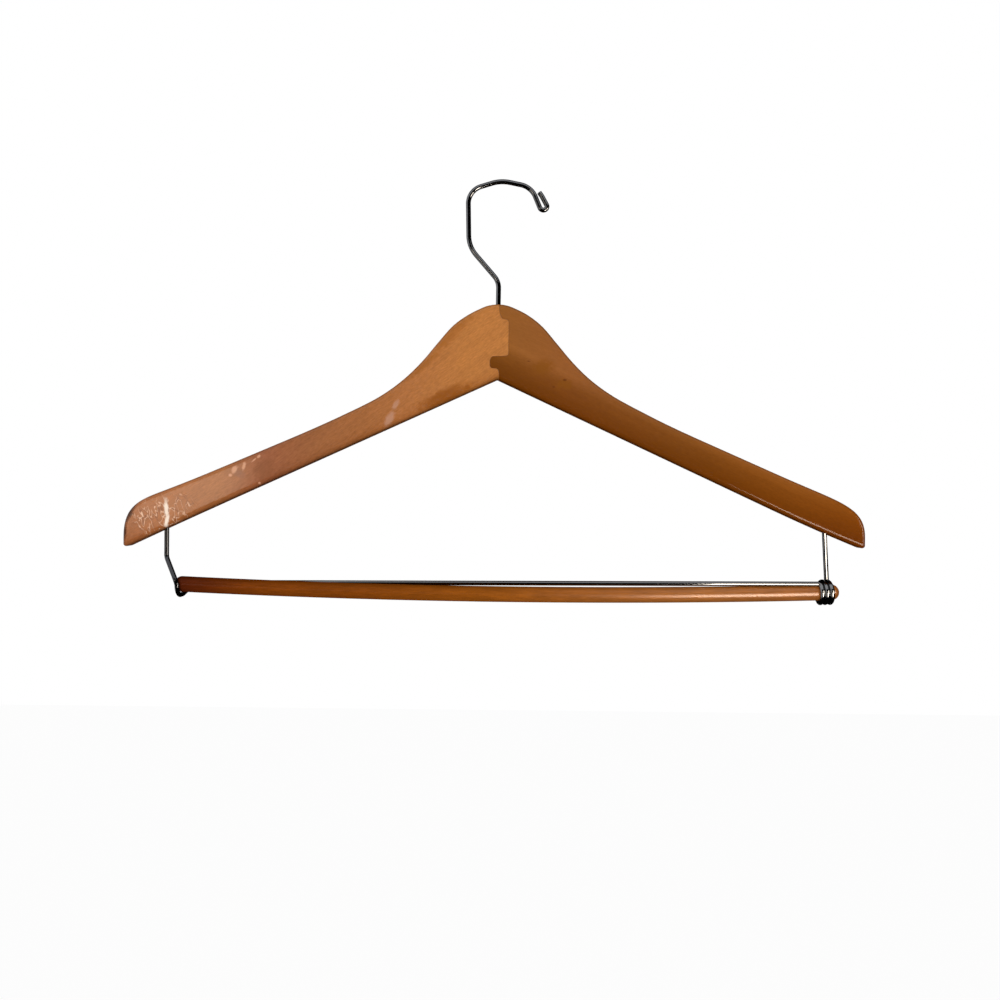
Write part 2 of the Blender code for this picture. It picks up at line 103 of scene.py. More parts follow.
neck_top = -seat_to_neck
apex = neck_top - neck_height


def by_side(x, right_value, left_value):
    """The right arm's value where x is above 0, else the left arm's."""
    return np.where(np.asarray(x) > 0, right_value, left_value)


def lateness(x):
    """0 until the last stretch before the tip, and from there up to 1 at the tip."""
    return np.clip(1 - (by_side(x, right_reach, left_reach) - np.abs(x)) / lift_run, 0, None)


def underside(x):
    """Height of the underside: the apex less the slope times the distance, plus a lift times the square of
    lateness."""
    return apex - arm_slope * np.abs(x) + by_side(x, right_tip_lift, left_tip_lift) * lateness(x) ** 2


def top_edge(x):
    """Height of the upper edge without the neck's swell: the underside plus a depth that grows as a power of
    the distance, plus a swell times the square of lateness."""
    share = np.abs(x) / by_side(x, right_reach, left_reach)
    depth = arm_depth_root + (arm_depth_tip - arm_depth_root) * share ** by_side(x, right_growth, left_growth)
    return underside(x) + depth + by_side(x, right_tip_swell, left_tip_swell) * lateness(x) ** 2


print("neck top at", round(neck_top, 4), "and the underside of the tips at",
      underside([-left_reach, right_reach]).round(4))

# %% [markdown]
# Two small curve tools do most of the drawing.
# One passes a smooth curve through measured points, which suits the carved neck.
# The other runs straight between corners and puts an arc in each, which is how wire is bent round a former.

# %% Curve tools
least_turn = math.radians(4)
same_place = 1e-6


def unit(vectors):
    """Vectors divided by their own length."""
    vectors = np.asarray(vectors, float)
    return vectors / np.linalg.norm(vectors, axis=-1, keepdims=True)


def smooth_through(points, steps):
    """Catmull-Rom curve: between two points, a cubic whose slope at each is half the step between its
    neighbours."""
    points = np.asarray(points, float)
    ends = np.vstack([2 * points[0] - points[1], points, 2 * points[-1] - points[-2]])
    before, start, end, after = (ends[i:len(ends) - 3 + i, None] for i in range(4))
    t = (np.arange(steps) / steps)[None, :, None]
    curve = 0.5 * (2 * start + (end - before) * t + (2 * before - 5 * start + 4 * end - after) * t ** 2
                   + (3 * start - before - 3 * end + after) * t ** 3)
    return np.vstack([curve.reshape(-1, points.shape[1]), points[-1:]])


def rounded_path(corners, radii, step_deg=6.0):
    """Straight runs between corners, with an arc in each: its centre lies on the corner's bisector at
    radius / cos(half the turn), and it starts radius * tan(half the turn) before the corner. Where two arcs
    meet, their shared point is kept once."""
    corners = np.asarray(corners, float)
    rooms = np.linalg.norm(np.diff(corners, axis=0), axis=1) / 2
    rooms[[0, -1]] *= 2
    rooms = np.minimum(rooms[:-1], rooms[1:])
    out = [corners[:1]]
    for before, corner, after, radius, room in zip(corners, corners[1:], corners[2:], radii, rooms):
        to_start, to_end = unit(before - corner), unit(after - corner)
        turn = math.pi - math.acos(np.clip(np.dot(to_start, to_end), -1, 1))
        if radius <= 0 or turn < least_turn:
            out.append(corner[None])
            continue
        setback = min(radius * math.tan(turn / 2), room)
        centre = corner + unit(to_start + to_end) * setback / math.sin(turn / 2)
        first, last = corner + to_start * setback - centre, corner + to_end * setback - centre
        angle = np.linspace(0, turn, max(3, round(math.degrees(turn) / step_deg)))[:, None]
        out.append(centre + (first * np.sin(turn - angle) + last * np.sin(angle)) / math.sin(turn))
    points = np.vstack([*out, corners[-1:]])
    return points[np.insert(np.linalg.norm(np.diff(points, axis=0), axis=1) > same_place, 0, True)]


print("a bend of 90 degrees gets", len(rounded_path([(0, 0), (1, 0), (1, 1)], [.5])) - 2, "points")

# %% [markdown]
# Every new piece here is a skin over rings of points: a board has rings that shrink over its rounded edge,
# and a wire has round rings along its path. Plain extrusion and bevel tools could do this as well, but
# rings worked out as arrays keep the edge radius exact and let two boards meet along one joint line.

# %% Skin over rings
def skin(name, rings):
    """Joins ring i to ring i + 1 by four-sided faces and closes each end with one flat face. The volume, a
    sum of scalar triple products, tells which way the faces look, and they are turned outwards."""
    count, sides = rings.shape[:2]
    step = np.arange(sides)
    after = np.roll(step, -1)
    rows = (np.arange(count - 1) * sides)[:, None]
    quads = np.stack([rows + step, rows + after, rows + sides + after, rows + sides + step], axis=-1)
    quads = quads.reshape(-1, 4)
    ends = [step[::-1], (count - 1) * sides + step]
    points = rings.reshape(-1, 3)
    a, b, c, d = (points[quads[:, i]] for i in range(4))
    volume = np.sum(np.cross(a, b) * c + np.cross(a, c) * d) / 6
    for end in ends:
        corner = points[end[0]]
        volume += np.sum(np.cross(points[end[1:-1]], points[end[2:]]) @ corner) / 6
    if volume < 0:
        quads, ends = quads[:, ::-1], [end[::-1] for end in ends]
    loops = np.concatenate([quads.ravel(), *ends])
    sizes = np.array([4] * len(quads) + [sides, sides])
    mesh = bpy.data.meshes.new(name)
    mesh.vertices.add(len(points))
    mesh.vertices.foreach_set("co", points.astype(np.float32).ravel())
    mesh.loops.add(len(loops))
    mesh.loops.foreach_set("vertex_index", loops.astype(np.int32))
    mesh.polygons.add(len(sizes))
    mesh.polygons.foreach_set("loop_start", np.concatenate([[0], np.cumsum(sizes)[:-1]]).astype(np.int32))
    mesh.update(calc_edges=True)
    mesh.validate()
    piece = bpy.data.objects.new(name, mesh)
    bpy.context.scene.collection.objects.link(piece)
    return piece


def smooth(piece, sharp_deg=42.0):
    """Smooth shading, with an edge left sharp where its two faces meet at more than the angle."""
    piece.data.shade_smooth()
    piece.data.set_sharp_from_angle(angle=math.radians(sharp_deg))
    return piece


print("edges stay sharp past", smooth.__defaults__[0], "degrees")

# %% [markdown]
# The boards are sawn to one outline and then split at the neck by a stepped finger joint.
# The outline has a top that swells at the neck and ends in a quarter-round tip, and an underside that runs
# straight until it bends a little before the tip. The boards were shaped by hand, so the two halves differ:
# one function draws either half from its own measures.

# %% Outline of the boards
swell_steps = 10
outline_step = 6 * mm
probe_step = .1 * mm
tip_points = 30
lift_points = 13
straight_stops = np.array([110, 60, .6]) * mm


def half_outline(side, reach, swell_heights, tip_run, handles):
    """One half from the neck's top over the tip to the apex: the top edge plus the neck's swell, then a cubic
    Bezier curve for the tip, p = sum of binomial * (1 - t)^(3 - k) * t^k * handle k, and the underside."""
    swell = smooth_through(np.column_stack([swell_places, swell_heights]), swell_steps)
    x = side * swell[:, 0] * neck_spread
    top = np.column_stack([x, top_edge(x) + swell[:, 1] * (neck_height - arm_depth_root)])
    beyond = side * np.arange(neck_spread + outline_step, reach - tip_run - outline_step / 2, outline_step)
    start_x = side * (reach - tip_run)
    start = np.array([start_x, top_edge(start_x)])
    end = np.array([side * reach, underside(side * reach) + arm_depth_tip * tip_fall_share])
    slope = (top_edge(start_x + side * probe_step) - start[1]) / probe_step
    leave = start + np.array([side, slope]) * tip_run * handles[0]
    arrive = end + np.array([0.0, (start[1] - end[1]) * handles[1]])
    t = np.linspace(0, 1, tip_points)[:, None]
    tip = start * (1 - t) ** 3 + 3 * leave * (1 - t) ** 2 * t + 3 * arrive * (1 - t) * t ** 2 + end * t ** 3
    low_x = side * np.append(reach - np.linspace(0, lift_run, lift_points), straight_stops)
    low = np.column_stack([low_x, underside(low_x)])
    under = rounded_path(np.vstack([end, low, [0.0, apex]]), [tip_corner_radius] + [0] * (len(low) - 1))
    return np.vstack([top, np.column_stack([beyond, top_edge(beyond)]), tip, under[1:]])


halves = {1: half_outline(1, right_reach, right_swell, right_tip_run, right_tip_handles),
          -1: half_outline(-1, left_reach, left_swell, left_tip_run, left_tip_handles)}
print("points on half the outline:", len(halves[1]))

# %% [markdown]
# The finger joint is a stepped line down the neck with softened corners. Each board stops a hair short of
# it. Its edge is left nearly square along the joint and is rounded over everywhere else.

# %% The joint line
joint_gap = .16 * mm
joint_edge_round = .12 * mm
left_finger_reach = 6.7 * mm
right_finger_reach = 4.4 * mm
joint_corner_radius = 1.9 * mm
joint_step_deg = 9.0
joint_clearance = .7 * mm
joint_margin = (edge_round + flat_hold) * 1.15
neck_points = 60
joint_shares = [(.06, -.06), (.10, 0), (.20, .135), (.40, .200), (1, .215), (1, .685), (.66, .700),
                (-.80, .705), (-1, .760), (-1, .860), (.08, .866), (.16, .94), (.12, 1.06)]


def joint_line():
    """The stepped line from above the neck to below it: each share across and down times its reach."""
    shares = np.array(joint_shares)
    reach = np.where(shares[:, 0] > 0, left_finger_reach, right_finger_reach)
    corners = np.column_stack([shares[:, 0] * reach, neck_top - shares[:, 1] * neck_height])
    return rounded_path(corners, [joint_corner_radius] * (len(corners) - 2), joint_step_deg)


def crossing(line, height):
    """Where a line going down passes a height that depends on x: the first change of sign, by proportion."""
    above = line[:, 1] - height(line[:, 0])
    i = int(np.argmax(above < 0))
    share = above[i - 1] / (above[i - 1] - above[i])
    return line[i - 1] + (line[i] - line[i - 1]) * share


def joint_edge(side, gap):
    """The joint line moved sideways by half the gap and trimmed to the board: its ends lie on the outline,
    and no point between them lies within the rounded edge, so that the rings can shrink past it."""
    line = joint_line()
    steps = unit(np.gradient(line, axis=0))
    line = line + side * np.column_stack([-steps[:, 1], steps[:, 0]]) * gap / 2
    top_x, top_z = halves[1][:neck_points].T
    first = crossing(line, lambda x: np.interp(np.abs(x), top_x, top_z))
    last = crossing(line, underside)
    inner = line[(line[:, 1] < first[1] - joint_margin) & (line[:, 1] > last[1] + joint_margin)]
    return np.vstack([first, inner, last])


def arm_outline(side):
    """Closed outline of one board, and for each of its edges whether it is an outer one."""
    edge = joint_edge(side, joint_gap)
    half = halves[side]
    first_x, last_x = edge[0, 0], edge[-1, 0]
    inward = np.arange(len(half)) > len(half) // 2
    keep = side * half[:, 0] > side * np.where(inward, last_x, first_x) + joint_clearance
    outer = half[keep]
    outline = np.vstack([edge[0], outer, edge[1:][::-1]])
    is_outer = np.zeros(len(outline), bool)
    is_outer[:len(outer) + 1] = True
    return outline, is_outer


print("joint line:", len(joint_line()), "points, in an outline of", len(arm_outline(1)[0]))

# %% [markdown]
# A board's rounded edge is a quarter circle. Going over it, the outline shrinks while the height grows,
# so each ring is the outline moved inwards, edge by edge, and each corner is where two moved edges meet.
# An arc that is tighter than the rounding would turn inside out, so its points are gathered in one place
# instead.

# %% Rings over a rounded edge
longest_arc_edge = .5 * mm
gathered_size = .01
least_spread = 1e-3
round_steps = 10


def shrink(outline, insets):
    """Moves each edge i inwards by insets[i]: a corner moves by a * n1 + b * n2 along its edges' inward
    normals, where a and b solve a + c b = inset 1 and c a + b = inset 2, with c the product of the normals.
    An arc that would turn round is gathered, at gathered_size, where the lines beside it cross, at
    p + s d1 = q + t d2."""
    edges = np.roll(outline, -1, axis=0) - outline
    in_arc = np.linalg.norm(edges, axis=1) < longest_arc_edge
    edges = unit(edges)
    area = np.sum(outline[:, 0] * np.roll(outline[:, 1], -1) - outline[:, 1] * np.roll(outline[:, 0], -1))
    normal = np.column_stack([-edges[:, 1], edges[:, 0]]) * np.sign(area)
    normal_before = np.roll(normal, 1, axis=0)
    inset_before = np.roll(insets, 1)
    c = np.sum(normal * normal_before, axis=1)
    apart = 1 - c * c > least_spread
    spread = np.where(apart, 1 - c * c, 1)
    a = np.where(apart, (inset_before - c * insets) / spread, insets / (1 + c))
    b = np.where(apart, (insets - c * inset_before) / spread, insets / (1 + c))
    moved = outline + normal_before * a[:, None] + normal * b[:, None]
    turned = np.sum((np.roll(moved, -1, axis=0) - moved) * edges, axis=1) < 0
    turned |= in_arc & (np.roll(turned, 1) | np.roll(turned, -1))
    for first in np.flatnonzero(turned & ~np.roll(turned, 1)):
        length = int(np.argmin(np.roll(turned, -first)))
        run = (first + np.arange(length + 1)) % len(moved)
        d1, d2, across = edges[run[0] - 1], edges[run[-1]], moved[run[-1]] - moved[run[0]]
        s = (across[0] * d2[1] - across[1] * d2[0]) / (d1[0] * d2[1] - d1[1] * d2[0])
        gathered = gathered_size * (outline[run] - outline[run].mean(axis=0))
        moved[run] = moved[run[0]] + s * d1 + gathered
    return moved


def board_rings(outline, is_outer, half, outer_round, inner_round, hold=flat_hold):
    """Rings from the back face to the front one. The depth is half a thickness - radius + radius * sin(angle)
    and the inset is radius * (1 - cos(angle)). A last ring just inside keeps the face flat in the shading."""
    angle = np.linspace(0, math.pi / 2, round_steps)
    y = half - outer_round + outer_round * np.sin(angle)
    outer = outer_round * (1 - np.cos(angle))
    rise = np.clip(y - half + inner_round, 0, inner_round)
    inner = inner_round - np.sqrt(inner_round ** 2 - rise ** 2)
    y, outer, inner = (np.append(v, v[-1] + extra) for v, extra in ((y, 0), (outer, hold), (inner, hold / 4)))
    front = np.array([np.insert(shrink(outline, np.where(is_outer, o, i)), 1, -d, axis=1)
                      for d, o, i in zip(y, outer, inner)])
    back = front[::-1] * np.array([1.0, -1.0, 1.0])
    return np.concatenate([back, front])


print("a rounded edge has", round_steps, "rings on each face")

# %% [markdown]
# Holes are drilled after the boards are shaped, as in the workshop. A Boolean with a round cutter is the
# plain way to do it, and its result is kept at once, so that no modifier is left on the piece.

# %% Drilling
def drill(piece, start, end, radius, sides=48):
    """Cuts a round hole between two points: a ring of radius * (cos, sin) carried from start to end."""
    start, end = np.asarray(start, float), np.asarray(end, float)
    axis = unit(end - start)
    side = unit(np.cross(axis, (1.0, 0.0, 0.0) if abs(axis[0]) < .9 else (0.0, 1.0, 0.0)))
    up = np.cross(axis, side)
    turn = np.linspace(0, 2 * math.pi, sides, endpoint=False)[:, None]
    ring = radius * (np.cos(turn) * side + np.sin(turn) * up)
    cutter = skin(piece.name + "_cutter", np.array([start + ring, end + ring]))
    cut = piece.modifiers.new("drill", "BOOLEAN")
    cut.operation, cut.solver, cut.object = "DIFFERENCE", "EXACT", cutter
    seen = piece.evaluated_get(bpy.context.evaluated_depsgraph_get())
    mesh = bpy.data.meshes.new_from_object(seen)
    mesh.name = piece.name
    piece.modifiers.remove(cut)
    piece.data = mesh
    bpy.data.objects.remove(cutter)
    return piece


print("drill bits have", drill.__defaults__[0], "sides")

# %% [markdown]
# The wires, the bush and the bar have sizes of their own. The bar is bowed, so the height of its axis is
# a curve that the catch, the coil and the spring's free run all follow.

# %% Sizes of wires, bush and bar
hook_wire_radius = 2.9 * mm / 2
spring_radius = 2.8 * mm / 2
lock_radius = 2.87 * mm / 2
bar_radius = 9.4 * mm / 2
bush_inner = hook_wire_radius + .3 * mm
bush_outer = bush_inner + .9 * mm
bush_sink = 1.0 * mm
bush_length = 20 * mm
chamber_depth = 4.5 * mm
wire_seat_depth = 14.0 * mm
wire_seat_fit = .12 * mm
bush_fit = .02 * mm
drill_outside = 4 * mm
drill_past = .6 * mm
fit_gap = .3 * mm
bar_left = left_reach - 29.6 * mm
bar_right = right_reach - 14.1 * mm
bar_length = bar_left + bar_right
bar_middle = (bar_right - bar_left) / 2
bar_drop = 241.1 * mm
bar_tilt = .5 * mm
bar_bow = 3.8 * mm
catch_x = left_reach - 24.3 * mm
catch_front_x = left_reach - 32.7 * mm
leg_x = right_reach - 23.15 * mm
leg_splay = 4.3 * mm
coil_radius = bar_radius + .1 * mm + lock_radius
coil_raise = .15 * mm


def bar_axis(x):
    """Height of the bowed bar's axis: a slight tilt and a parabola, lowest near the middle."""
    share = (x - bar_middle) / (bar_length / 2)
    return -bar_drop - bar_tilt * share - bar_bow * (1 - share * share)


def leg_frame():
    """Where the spring's leg leaves the coil, its direction upwards, and how far it leans round the coil:
    the leg touches the coil's circle and passes through the middle of its seat in the arm."""
    coil_x = leg_x + leg_splay
    axis_z = bar_axis(coil_x) + coil_raise
    rise = underside(leg_x) + wire_seat_depth / 2 - axis_z
    lean = math.asin(coil_radius / rise)
    foot = np.array([coil_x, coil_radius * math.cos(lean), axis_z + coil_radius * math.sin(lean)])
    return foot, unit(np.array([leg_x, 0.0, axis_z + rise]) - foot), lean


print("bar from", round(-bar_left, 4), "to", round(bar_right, 4))

# %% [markdown]
# Now the boards can be made: a skin over their rings, then a bore down the neck for the hook's bush, and
# a seat up each arm for a wire. The spring's leg leans, so its seat leans with it.

# %% Make the two boards
neck_bore = ((0, 0, neck_top + drill_outside),
             (0, 0, neck_top - bush_sink - bush_length - chamber_depth), bush_outer + bush_fit)
arms = {}
for arm_name, side in (("left_board", -1), ("right_board", 1)):
    outline, is_outer = arm_outline(side)
    arms[arm_name] = skin(arm_name, board_rings(outline, is_outer, board_half, edge_round, joint_edge_round))
    drill(arms[arm_name], *neck_bore)
leg_foot, leg_up, leg_lean = leg_frame()
leg_top = leg_foot + leg_up * (underside(leg_x) + wire_seat_depth - leg_foot[2]) / leg_up[2]
drill(arms["left_board"], (-catch_x, 0, underside(-catch_x) - drill_outside),
      (-catch_x, 0, underside(-catch_x) + wire_seat_depth + drill_past), spring_radius + wire_seat_fit)
drill(arms["right_board"], leg_foot + leg_up * (leg_top - leg_foot)[2] / 2, leg_top + leg_up * drill_past,
      lock_radius + wire_seat_fit)
for piece in arms.values():
    smooth(piece)
    print(piece.name, len(piece.data.vertices), "points")

# %% [markdown]
# The glue shows as a thin line. It is one strip that fills the gap between the boards, a hair below their
# faces and a little wider than the gap, so that no light comes through.

# %% The glue line
glue_spread = joint_gap * 1.1
glue_sink = .05 * mm
glue_round = .01 * mm


def glue_outline():
    """Both sides of the gap, closed across its two ends; only the two ends follow the board's outer edge."""
    right, left = joint_edge(1, glue_spread), joint_edge(-1, glue_spread)
    outline = np.vstack([right, left[::-1]])
    is_outer = np.zeros(len(outline), bool)
    is_outer[[len(right) - 1, len(outline) - 1]] = True
    return outline, is_outer


glue_rings = board_rings(*glue_outline(), board_half - glue_sink, edge_round, glue_round, hold=0)
glue = skin("glue_line", glue_rings[1:-1])
drill(glue, *neck_bore)
smooth(glue)
print("glue strip:", len(glue.data.vertices), "points")

# %% [markdown]
# Wire is a circle carried along a path. Where it was cropped, its end is flat with a small burr taken
# off, and that is a quarter circle in the last few rings.

# %% Tubes
end_rings = 6


def mitre(path):
    """Direction at each point: the unit sum of the unit steps into and out of it."""
    steps = unit(np.diff(path, axis=0))
    return unit(np.vstack([steps[:1], steps[:-1] + steps[1:], steps[-1:]]))


def round_ends(path, radius, corner):
    """Adds a quarter circle at both ends: at angle a the end stands corner * (1 - cos a) further in and the
    radius is corner * (1 - sin a) smaller."""
    angle = np.linspace(0, math.pi / 2, end_rings)
    back, less = corner * (1 - np.cos(angle))[:, None], corner * (1 - np.sin(angle))
    direction = mitre(path)
    start = path[0] + direction[0] * back
    end = path[-1] - direction[-1] * back[::-1]
    radius = np.broadcast_to(radius, len(path)).astype(float)
    radii = np.concatenate([radius[0] - less, radius[1:-1], radius[-1] - less[::-1]])
    return np.vstack([start, path[1:-1], end]), radii


def tube(name, path, radius, hint, sides=32, corner=.25 * mm):
    """Rings square to a path: centre + radius * (cos t * side + sin t * up), where side is the path's
    direction crossed with a hint that is never along it, and up is the direction crossed with side."""
    path, radii = round_ends(np.asarray(path, float), radius, corner) if corner else (path, radius)
    direction = mitre(path)
    hint = np.broadcast_to(hint, path.shape) if np.ndim(hint) == 1 else hint(direction)
    side = unit(np.cross(direction, hint))
    up = np.cross(direction, side)
    t = np.linspace(0, 2 * math.pi, sides, endpoint=False)[None, :, None]
    rings = path[:, None] + radii[:, None, None] * (np.cos(t) * side[:, None] + np.sin(t) * up[:, None])
    return smooth(skin(name, rings))


def path_length(path):
    """The sum of the lengths of its steps, in metres."""
    return round(float(np.linalg.norm(np.diff(path, axis=0), axis=1).sum()), 3)


print("the neck is", path_length([(0, 0, neck_top), (0, 0, apex)]), "m high")

# %% [markdown]
# The hook is one wire: an upset head that holds it under the bush, a straight stem, two bends, a crown,
# and a hairpin at the nose whose short leg closes back on the first one.

# %% The hook
hook_back = 18.0 * mm
head_height = 3.0 * mm
head_radius = 2.3 * mm
head_step = .1 * mm
crown_offset = 1.0 * mm
stem_offset = .35 * mm
bend_radii = np.array([10.4, 18.0, 10.5, 21.9, 12.1]) * mm
hook_step_deg = 4.0
hairpin_gap = 1.7 * mm
near_close, tip_close = .50, .38
hairpin_return = 8.0 * mm
hairpin_tip = 2.9 * mm
tip_bend = 3 * mm


def hook_path():
    """Corners as shares of the hook's width and height, with an arc in each; the whole is raised until the
    inner face of the crown is at height zero, where it rests on a rod."""
    foot = neck_top - bush_sink - bush_length - fit_gap - head_height
    leg_gap = 2 * hook_wire_radius + hairpin_gap
    nose = np.array([1.074 * hook_back, -.0308 * seat_to_neck])
    low = np.array([1.407 * hook_back, -.2295 * seat_to_neck])
    down = unit(low - nose)
    side = np.array([-down[1], down[0]]) * np.sign(-down[1])
    turn = low + side * leg_gap
    near = turn - down * hairpin_return - side * hairpin_gap * near_close
    tip = near - down * hairpin_tip - side * hairpin_gap * tip_close
    stem, back, shoulder = (stem_offset, -.8106), (-.981 * hook_back, -.5258), (-1.023 * hook_back, -.0632)
    bends = [(x, share * seat_to_neck) for x, share in (stem, back, shoulder)]
    flat = np.array([(0, foot), *bends, (crown_offset, hook_wire_radius), nose, low, turn, near, tip])
    radii = [*bend_radii, leg_gap / 2, leg_gap / 2, tip_bend]
    path = rounded_path(np.insert(flat, 1, 0.0, axis=1), radii, hook_step_deg)
    path[1:, 2] += hook_wire_radius - path[:, 2].max()
    return path


path = hook_path()
head = path[0] + np.array([[0, 0, 0], [0, 0, head_height], [0, 0, head_height + head_step]])
hook_radii = np.full(len(path) + 2, hook_wire_radius)
hook_radii[:2] = head_radius
hook = tube("bent_hook", np.vstack([head, path[1:]]), hook_radii, (0.0, 1.0, 0.0), sides=36, corner=.3 * mm)
print("hook wire:", path_length(path), "m long")

# %% [markdown]
# The bush is turned from rod: a tube with a small rolled rim, pressed into the neck.

# %% The bush
def lathe(name, profile, sides=64):
    """A closed profile of radius and height turned about the hook's axis: x = r cos t, y = r sin t, z = h."""
    t = np.linspace(0, 2 * math.pi, sides, endpoint=False)
    r, z = np.asarray(profile, float).T
    heights = np.broadcast_to(z, (sides, len(r)))
    points = np.stack([r * np.cos(t)[:, None], r * np.sin(t)[:, None], heights], axis=-1)
    grid = np.arange(sides * len(r)).reshape(sides, len(r))
    right, up = np.roll(grid, -1, axis=0), np.roll(grid, -1, axis=1)
    quads = np.stack([grid, right, np.roll(right, -1, axis=1), up], axis=-1).reshape(-1, 4)
    mesh = bpy.data.meshes.new(name)
    mesh.from_pydata(points.reshape(-1, 3).tolist(), [], quads.tolist())
    piece = bpy.data.objects.new(name, mesh)
    bpy.context.scene.collection.objects.link(piece)
    return smooth(piece)


rim_drop = .35 * mm
rim_z = neck_top - rim_drop
low_z = neck_top - bush_sink - bush_length
rim_turn = np.linspace(0, math.pi, 9)
rim_middle, rim_half = (bush_inner + bush_outer) / 2, (bush_outer - bush_inner) / 2
rim = np.column_stack([rim_middle + rim_half * np.cos(rim_turn),
                       rim_z - rim_half + rim_half * np.sin(rim_turn)])
bush = lathe("pressed_bush", np.vstack([rim, [(bush_inner, low_z), (bush_outer, low_z)]]))
print("bush:", len(bush.data.polygons), "faces")

# %% [markdown]
# The catch wire stands in the left arm, slants in, passes in front of the bar and curls under it.

# %% The catch wire
wire_burr = .35 * mm
catch_bend = 5 * mm
catch_gap = .4 * mm
catch_drop = 17.1 * mm
catch_drift = .3 * mm
elbow_out, elbow_up = 1.1 * mm, 3.4 * mm
lip_start, lip_reach, lip_rise = 4 * mm, 9.8 * mm, 1.3 * mm


def catch_path():
    """Two arcs down to the bar, then a quarter circle of bar radius + gap + wire radius in Y and Z, and a
    lip."""
    axis_z, reach = bar_axis(-catch_front_x), bar_radius + catch_gap + spring_radius
    low = underside(-catch_x)
    front = [(-catch_x, 0, low + wire_seat_depth), (-catch_x, 0, low - catch_drop),
             (-catch_front_x - elbow_out, -reach, axis_z + elbow_up), (-catch_front_x, -reach, axis_z)]
    run = rounded_path(front, [catch_bend, catch_bend], 5.0)
    share = np.linspace(0, 1, 19)[1:, None]
    turn = share * math.pi / 2
    quarter = np.hstack([-catch_front_x + catch_drift / 2 * share, -reach * np.cos(turn),
                         axis_z - reach * np.sin(turn)])
    floor = axis_z - reach
    lip = rounded_path([quarter[-1], (-catch_front_x + catch_drift / 2, lip_start, floor),
                        (-catch_front_x + catch_drift, lip_reach, floor + lip_rise)], [catch_bend], 3.0)
    return np.vstack([run, quarter, lip[1:]])


catch = tube("catch_wire_bent", catch_path(), spring_radius, (1.0, 0.0, 0.0), corner=wire_burr)
print("catch wire:", path_length(catch_path()), "m long")

# %% [markdown]
# The lock spring is one long wire: a leg in the right arm, close turns round the bar, and a free run to
# the left that clamps the trousers. A helix that steps sideways over the top of the bar keeps the turns
# side by side.

# %% The lock spring
coil_pitch = 2.85 * mm
coil_half_turns = 5
coil_first_lead = .1 * mm
coil_exit = math.radians(34)
coil_points = 200
exit_bend = 2.2 * mm
run_start = 5 * mm
run_points = 60
free_end_back = 7.8 * mm
free_end_up = .6 * mm
free_end_gap = 5.5 * mm
free_end_x = -catch_front_x + spring_radius + free_end_gap


def lock_path():
    """Leg, then a helix about the bowed axis, at angle a on the circle of coil_radius * (cos a, -sin a) in
    Y and Z, with x = start - pitch * (turns + cos(a) / 2 pi), then an arc and a straight run to the end."""
    turn = np.linspace(-leg_lean, math.pi * coil_half_turns + coil_exit, coil_points)
    turns = (turn + leg_lean) / (2 * math.pi)
    stepped = turns + (np.cos(turn) - math.cos(leg_lean)) / (2 * math.pi)
    x = leg_x + leg_splay - coil_pitch * stepped - coil_first_lead * np.minimum(turns, 1)
    coil = np.column_stack([x, coil_radius * np.cos(turn),
                            bar_axis(x) + coil_raise - coil_radius * np.sin(turn)])
    leave = unit(coil[-1] - coil[-2])
    corner = coil[-1] + leave * exit_bend
    free_end = np.array([free_end_x, free_end_back, bar_axis(free_end_x) + free_end_up])
    run = unit(free_end - corner)
    bend = rounded_path([coil[-1], corner, corner + run * run_start], [exit_bend], 6.0)
    length = np.linalg.norm(free_end - corner)
    straight = corner + run * np.linspace(run_start, length, run_points)[1:, None]
    return np.vstack([leg_top, coil, bend[1:], straight]), corner, run, leave


lock, bend_corner, run_direction, leave_direction = lock_path()


def lock_hint(direction):
    """A hint that swings from X to the direction of leaving the coil as the wire turns towards minus X."""
    share = np.clip(-direction[:, :1], 0, 1)
    return (1 - share) * np.array([1.0, 0.0, 0.0]) + share * leave_direction


spring = tube("lock_spring", lock, lock_radius, lock_hint, corner=wire_burr)
print("lock spring:", path_length(lock), "m of wire")

# %% [markdown]
# The trouser bar is a turned dowel, bent into a slight bow by the springs, with domed ends.

# %% The trouser bar
dome_depth = 4.2 * mm
dome_flat = .37
dome_rings = 12
bar_rings = 120


def bar_surface():
    """Circles about the bowed axis; near an end the radius is R sqrt(1 - (1 - f^2)(1 - s)^2), where s is the
    share of the dome's depth and f the share of the radius that is left flat."""
    ends = dome_depth * (1 - np.cos(np.linspace(0, math.pi / 2, dome_rings)))
    middle = np.linspace(dome_depth, bar_length - dome_depth, bar_rings)
    along = np.concatenate([ends[:-1], middle, bar_length - ends[-2::-1]])
    x = along - bar_left
    inwards = np.clip(np.minimum(along, bar_length - along) / dome_depth, 0, 1)
    radius = bar_radius * np.sqrt(1 - (1 - dome_flat ** 2) * (1 - inwards) ** 2)
    return np.column_stack([x, 0 * x, bar_axis(x)]), radius


bar_path, bar_radii = bar_surface()
bar = tube("turned_bar", bar_path, bar_radii, (0.0, 1.0, 0.0), sides=64, corner=0)
print("bar:", len(bar.data.polygons), "faces")

# %% [markdown]
# Colours are written as they are read off the object, and one function turns them into the linear values
# that a shader works with. A second one adds a node with its settings and links, which keeps each material
# down to one line for each idea in it.

# %% Colour and node helpers
def linear(code, alpha=1.0):
    """sRGB hex to linear: c / 12.92 below 0.04045, else ((c + 0.055) / 1.055) ^ 2.4."""
    c = np.array([int(code[i:i + 2], 16) for i in (1, 3, 5)]) / 255
    c = np.where(c <= .04045, c / 12.92, ((c + .055) / 1.055) ** 2.4)
    return (*c.tolist(), alpha)


